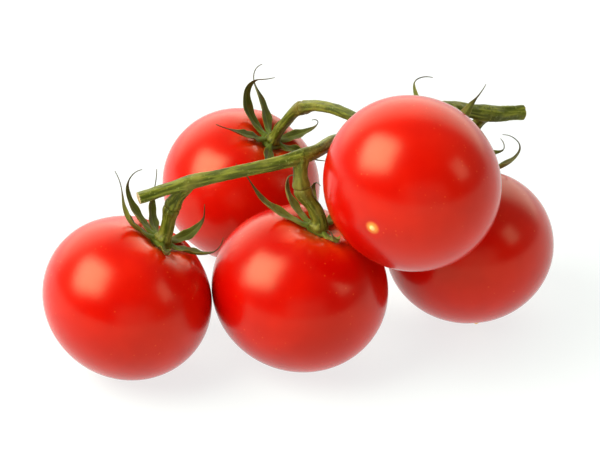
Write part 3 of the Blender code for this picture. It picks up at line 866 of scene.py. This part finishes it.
def calyx_leaf(fruit, yellowing_and_painted_light):
    """Sepal skin: dark and veined inside, paler outside, olive-edged, brown at the tips, patched
    yellow-green partly as yellowing and partly as painted light.
    """
    made, wire = new_finish(f"calyx_leaf_{fruit.name}")
    blade = wire.node("Attribute", {"attribute_name": "blade"}, (), output="Vector")
    across, along, above = blade.parts()
    spot = wire.node("TexCoord", (), (), output="Object")

    off_middle = (across * across) ** 0.5
    inside = above.fade(-0.2, 0.2)
    veins = blade.scaled((1.0, 0.35, 0.0)).cloud(9.0, 3.0)
    patches = spot.cloud(380, 3.0)
    inner = veins.fade(0.35, 0.65).over(rgb(0.025, 0.037, 0.002), rgb(0.064, 0.082, 0.006))
    outer = veins.fade(0.35, 0.65).over(rgb(0.050, 0.072, 0.005), rgb(0.115, 0.14, 0.016))
    yellow_green, mid_green, olive = rgb(0.19, 0.185, 0.028), rgb(0.15, 0.2, 0.03), rgb(0.2, 0.19, 0.03)
    dry_brown, rust, fresh_green = rgb(0.055, 0.036, 0.012), rgb(0.10, 0.055, 0.012), rgb(0.085, 0.14, 0.015)

    colour = inside.over(outer, inner)
    # Yellow-green patches: partly yellowing, and partly painted light where a calyx is better lit
    colour = (patches.fade(0.3, 0.55) * yellowing_and_painted_light).over(colour, yellow_green)
    middle_line = (1 - off_middle.fade(0.04, 0.2)) * 0.4
    colour = middle_line.over(colour, mid_green)
    edge = off_middle.fade(0.75, 0.97) * 0.6
    colour = edge.over(colour, olive)
    drying = (along + patches * 0.5).fade(0.85, 1.25)
    colour = drying.over(colour, dry_brown)
    spots = patches.fade(0.56, 0.7) * along.fade(0.1, 0.4) * 0.6
    colour = spots.over(colour, rust)
    root = (1 - along.fade(0.0, 0.16)) * 0.6
    colour = root.over(colour, fresh_green)

    relief = veins * 0.00006 + spot.cloud(2600, 2.0) * 0.00004
    bump = wire.node("Bump", (), {"Height": relief, "Strength": 0.8, "Distance": 1.0})
    close_finish(wire, {
        "Base Color": colour,
        "Roughness": 0.5 + patches * 0.2,
        "Normal": bump,
        "Specular IOR Level": 0.3,
        "Specular Tint": (1.0, 0.95, 0.5, 1.0),
        "Subsurface Weight": 0.1,
        "Subsurface Radius": (0.4, 0.6, 0.1),
        "Subsurface Scale": 0.0008,
    })
    return made


taken = []
for stem in (rachis, *spurs, *short_stalks):
    taken += [(point, radius + STEM_ROOM) for point, radius in zip(stem.points[::3], stem.radii[::3])]
for (fruit, yellowing_and_painted_light, sepals), pedicel in zip(CALYXES, PEDICELS):
    back = fruit.place.inverted()
    obstacles = [(back @ centre, room) for centre, room in taken]
    for other in FRUITS:
        if other is not fruit:
            obstacles.append((back @ other.centre, max(other.width, other.height) / 2 + STEM_ROOM))
    hub_floor = pedicel.hub_top - HUB_THICKNESS
    skin = calyx_skin(fruit, sepals, hub_floor, obstacles)
    skin.transform(fruit.place)
    middles = [corner.co.copy() for corner in list(skin.vertices)[::SEPAL_POINTS]]
    taken += [(middle, SEPAL_ROOM) for middle in middles]
    leaf = calyx_leaf(fruit, yellowing_and_painted_light)
    piece(f"sepals_{fruit.name}", skin, leaf, f"calyx_{fruit.name}")

# ---- The table, the light and the camera
# A white table top of translucent acrylic, lit from below. A large lamp with a soft-edged face stands
# close at the left, a weak one at the right, and a low one in front that fills the shadows and makes no
# highlight of its own. The studio is brightest behind the table.

TABLE_SIZE = 6.0
WARM_WHITE = (1.0, 0.94, 0.84)
SOFT_WHITE = (1.0, 0.97, 0.92)
LAMP_BRIGHT, LAMP_DARK = 0.16, 0.48  # where the key lamp's face starts to dim, and where it is dark
GLOW_ALL_ROUND = 0.06
GLOW_AT_SIDES = 0.25
GLOW_BEHIND = 2.3
VIEW_DISTANCE = 0.6
VIEW_ELEVATION = math.radians(33)
VIEW_TARGET = Vector((-0.0002, -0.0122, 0.0251))
LENS = 203.7


def white_table():
    """Faintly clouded acrylic, which glows with the light under it."""
    made, wire = new_finish("white_table")
    spot = wire.node("TexCoord", (), (), output="Object")
    close_finish(wire, {
        "Base Color": spot.cloud(9.0).fade(0.2, 0.8).over(rgb(0.18, 0.21, 0.21), rgb(0.20, 0.23, 0.23)),
        "Roughness": 0.6 + spot.cloud(60.0) * 0.1,
        "Specular IOR Level": 0.2,
        "Emission Color": (0.97, 1, 1, 1),
        "Emission Strength": 0.76,
    })
    return made


def lamp(name, place, size, power, colour, roll=0.0):
    """A rectangular lamp turned towards the truss, and rolled about its own axis."""
    light = bpy.data.lights.new(name, "AREA")
    light.shape = "RECTANGLE"
    light.size, light.size_y = size
    light.energy = power
    light.color = colour
    obj = bpy.data.objects.new(name, light)
    bpy.context.scene.collection.objects.link(obj)
    obj.location = place
    facing = (VIEW_TARGET - Vector(place)).to_track_quat("-Z", "Y")
    obj.rotation_euler = (facing @ Quaternion((0, 0, 1), math.radians(roll))).to_euler()
    return obj


corners = [(x * TABLE_SIZE / 2, y * TABLE_SIZE / 2, 0) for x, y in ((-1, -1), (1, -1), (1, 1), (-1, 1))]
mesh = bpy.data.meshes.new("table")
mesh.from_pydata(corners, [], [(0, 1, 2, 3)])
table = bpy.data.objects.new("table", mesh)
bpy.context.scene.collection.objects.link(table)
table.data.materials.append(white_table())

key_lamp = lamp("key_lamp", (-0.42, -0.12, 0.45), (0.72, 0.72), power=19, colour=WARM_WHITE, roll=32)
key_lamp.data.use_nodes = True
face = Wire(key_lamp.data.node_tree)  # of the lamp, bright in the middle and dark at its edges
across, up, _ = face.node("NewGeometry", (), (), output="Parametric").parts()
off_middle = ((across - 0.5) ** 4 + (up - 0.5) ** 4) ** 0.25
dimmed = 1 - off_middle.fade(LAMP_BRIGHT, LAMP_DARK)
face.tree.links.new(dimmed.socket, face.tree.nodes["Emission"].inputs["Strength"])

lamp("side_lamp", (0.58, -0.22, 0.36), (0.22, 0.26), power=0.42, colour=SOFT_WHITE)
fill_lamp = lamp("fill_lamp", (0.12, -0.62, 0.10), (0.6, 0.4), power=2.3, colour=SOFT_WHITE)
fill_lamp.visible_glossy = False

world = bpy.data.worlds.new("studio")
bpy.context.scene.world = world
world.use_nodes = True
sky = Wire(world.node_tree)
towards_back = sky.node("TexCoord", (), (), output="Generated").parts()[1]
sides, behind = towards_back.fade(-0.7, 0.1), towards_back.fade(0.38, 0.78)
brightness = GLOW_ALL_ROUND + sides * GLOW_AT_SIDES + behind * GLOW_BEHIND
sky.tree.links.new(brightness.socket, sky.tree.nodes["Background"].inputs["Strength"])
sky.tree.nodes["Background"].inputs["Color"].default_value = rgb(1, 0.95, 0.82)

camera = bpy.data.objects.new("camera", bpy.data.cameras.new("camera"))
bpy.context.scene.collection.objects.link(camera)
camera.data.lens = LENS
camera.data.clip_start = 0.01
outward = Vector((0, -math.cos(VIEW_ELEVATION), math.sin(VIEW_ELEVATION)))
camera.location = VIEW_TARGET + outward * VIEW_DISTANCE
camera.rotation_euler = (-outward).to_track_quat("-Z", "Y").to_euler()
bpy.context.scene.camera = camera
bpy.context.scene.view_settings.view_transform = "Standard"
